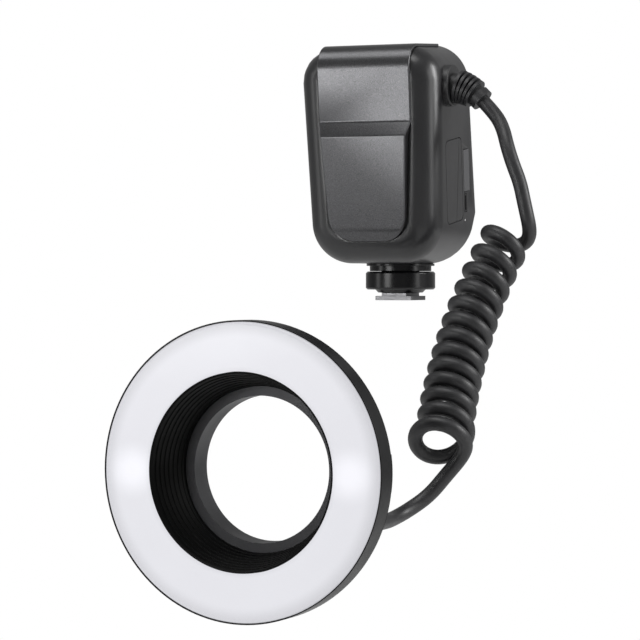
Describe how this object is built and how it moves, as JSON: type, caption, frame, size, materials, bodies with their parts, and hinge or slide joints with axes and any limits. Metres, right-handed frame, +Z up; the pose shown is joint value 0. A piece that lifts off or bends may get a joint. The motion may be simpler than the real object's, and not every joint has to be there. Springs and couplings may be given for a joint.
{
  "type": "macro ring flash",
  "caption": "Macro ring flash: a shoe-mounted controller with a display and keys, a curly cord and a white ring head with a lens adapter that snaps in.",
  "frame": {"origin": "centre of the underside of the shoe foot", "axes": "+Z up, -Y to the subject, +X to the right of a viewer who faces the diffuser"},
  "size_m": [0.1413, 0.1998, 0.2522],
  "materials": {
    "shell": "semi-gloss black",
    "strip": "satin charcoal",
    "window": "polished dark window",
    "panel_lcd": "grey display face",
    "board": "green circuit board",
    "keys": "satin dark keys",
    "dial": "satin black dial",
    "battery": "satin dark case",
    "tray": "matt black",
    "door": "matt soft flap",
    "steel": "brushed",
    "gold": "gold plated",
    "lock": "satin black",
    "rubber": "satin black rubber",
    "diffuser": "satin translucent white, lit",
    "mirror": "polished",
    "xenon": "clear tube",
    "lamp": "clear dome, lit",
    "adapter": "black anodised",
    "capacitor": "sleeved"
  },
  "bodies": {
    "controller": {"front_shell": "shell", "rear_shell": "shell", "front_strip": "strip", "display_window": "window", "display_module": "panel_lcd", "key_board": "board", "battery_tray": "tray", "battery_contacts": "gold", "port_socket": "steel", "main_capacitor": "capacitor", "driver_board": "board", "foot_plate": "steel", "foot_contacts": "gold", "foot_base": "lock", "foot_screws": "steel", "cord_boot": "rubber", "cord_upper": "rubber", "cord_coil": "rubber", "cord_lower": "rubber", "head_boot": "rubber", "ring_barrel": "shell", "rear_cover": "shell", "inner_tube": "tray", "diffuser": "diffuser", "reflector": "mirror", "flash_tube_left": "xenon", "flash_tube_right": "xenon", "tube_caps_left": "rubber", "tube_caps_right": "rubber", "focus_lamp_left": "lamp", "focus_lamp_right": "lamp", "ring_board": "board", "cover_screws": "steel"},
    "soft_key_1": {"soft_key_1": "keys"},
    "soft_key_2": {"soft_key_2": "keys"},
    "soft_key_3": {"soft_key_3": "keys"},
    "soft_key_4": {"soft_key_4": "keys"},
    "mode_button": {"mode_button": "keys"},
    "menu_button": {"menu_button": "keys"},
    "test_button": {"test_button": "keys"},
    "set_button": {"set_button": "keys"},
    "select_dial": {"select_dial": "dial"},
    "power_switch": {"power_switch": "keys"},
    "battery": {"battery": "battery"},
    "battery_latch": {"battery_latch": "battery"},
    "port_door": {"port_door": "door"},
    "lock_ring": {"lock_ring": "lock"},
    "lock_pin": {"lock_pin": "steel"},
    "adapter_ring": {"adapter_ring": "adapter"},
    "release_left": {"release_button_left": "keys", "latch_yoke_left": "steel"},
    "release_right": {"release_button_right": "keys", "latch_yoke_right": "steel"}
  },
  "joints": [
    {"name": "lock_turn", "type": "hinge", "parent": "controller", "child": "lock_ring", "pos_m": [0, 0, 0.009], "axis": [0, 0, 1], "range_deg": [0, 80]},
    {"name": "pin_drop", "type": "slide", "parent": "controller", "child": "lock_pin", "axis": [0, 0, -1], "range_m": [0, 0.0016]},
    {"name": "soft_key_1_press", "type": "slide", "parent": "controller", "child": "soft_key_1", "axis": [0, -0.9732, -0.23], "range_m": [0, 0.0006], "stiffness_N_per_m": 600, "springref_m": -0.0008},
    {"name": "soft_key_2_press", "type": "slide", "parent": "controller", "child": "soft_key_2", "axis": [0, -0.9732, -0.23], "range_m": [0, 0.0006], "stiffness_N_per_m": 600, "springref_m": -0.0008},
    {"name": "soft_key_3_press", "type": "slide", "parent": "controller", "child": "soft_key_3", "axis": [0, -0.9732, -0.23], "range_m": [0, 0.0006], "stiffness_N_per_m": 600, "springref_m": -0.0008},
    {"name": "soft_key_4_press", "type": "slide", "parent": "controller", "child": "soft_key_4", "axis": [0, -0.9732, -0.23], "range_m": [0, 0.0006], "stiffness_N_per_m": 600, "springref_m": -0.0008},
    {"name": "mode_button_press", "type": "slide", "parent": "controller", "child": "mode_button", "axis": [0, -0.9732, -0.23], "range_m": [0, 0.0006], "stiffness_N_per_m": 600, "springref_m": -0.0008},
    {"name": "menu_button_press", "type": "slide", "parent": "controller", "child": "menu_button", "axis": [0, -0.9732, -0.23], "range_m": [0, 0.0006], "stiffness_N_per_m": 600, "springref_m": -0.0008},
    {"name": "test_button_press", "type": "slide", "parent": "controller", "child": "test_button", "axis": [0, -0.9732, -0.23], "range_m": [0, 0.0006], "stiffness_N_per_m": 600, "springref_m": -0.0008},
    {"name": "set_button_press", "type": "slide", "parent": "controller", "child": "set_button", "axis": [0, -0.9732, -0.23], "range_m": [0, 0.0006], "stiffness_N_per_m": 600, "springref_m": -0.0008},
    {"name": "dial_turn", "type": "hinge", "parent": "controller", "child": "select_dial", "pos_m": [0, 0.01564, 0.05384], "axis": [0, 0.9732, 0.23], "continuous": true},
    {"name": "power_slide", "type": "slide", "parent": "controller", "child": "power_switch", "axis": [0, -0.23, 0.9732], "range_m": [0, 0.003]},
    {"name": "battery_slide", "type": "slide", "parent": "controller", "child": "battery", "axis": [1, 0, 0], "range_m": [0, 0.062]},
    {"name": "latch_press", "type": "slide", "parent": "controller", "child": "battery_latch", "axis": [-1, 0, 0], "range_m": [0, 0.001], "stiffness_N_per_m": 600, "springref_m": -0.0008},
    {"name": "door_swing", "type": "hinge", "parent": "controller", "child": "port_door", "pos_m": [0.03205, 0.00372, 0.06123], "axis": [0, -0.1495, 0.9888], "range_deg": [0, 90]},
    {"name": "release_left_press", "type": "slide", "parent": "controller", "child": "release_left", "axis": [1, 0, 0], "range_m": [0, 0.0012], "stiffness_N_per_m": 900, "springref_m": -0.002},
    {"name": "release_right_press", "type": "slide", "parent": "controller", "child": "release_right", "axis": [-1, 0, 0], "range_m": [0, 0.0012], "stiffness_N_per_m": 900, "springref_m": -0.002},
    {"name": "adapter_turn", "type": "hinge", "parent": "controller", "child": "adapter_ring", "pos_m": [0, -0.1555, -0.06985], "axis": [0, 1, 0], "continuous": true}
  ],
  "couplings": [
    {"joint": "pin_drop", "follows": "lock_turn", "m_per_rad": 0.001145}
  ]
}
